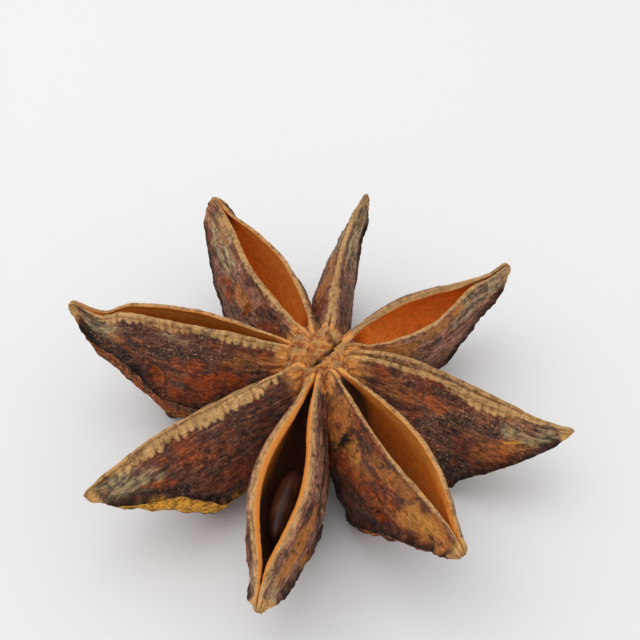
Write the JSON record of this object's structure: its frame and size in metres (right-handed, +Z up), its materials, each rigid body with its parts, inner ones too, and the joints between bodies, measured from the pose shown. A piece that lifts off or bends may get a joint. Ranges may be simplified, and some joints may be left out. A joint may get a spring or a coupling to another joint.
{
  "type": "star anise pod",
  "caption": "Dried star anise pod: boat-shaped follicles round a short column, some split open along the top seam to show a glossy seed.",
  "frame": {"origin": "middle of the bounding box, on the surface that the keels rest on", "axes": "+Z up along the column; the follicle that holds the seed points towards -Y"},
  "size_m": [0.0342, 0.0352, 0.0091],
  "materials": {
    "husk": "dry woody husk, mottled reddish brown, matt to satin",
    "seed_coat": "smooth hard seed coat, glossy dark brown"
  },
  "bodies": {
    "root": {"pericarp": "husk", "seed": "seed_coat"}
  },
  "joints": []
}
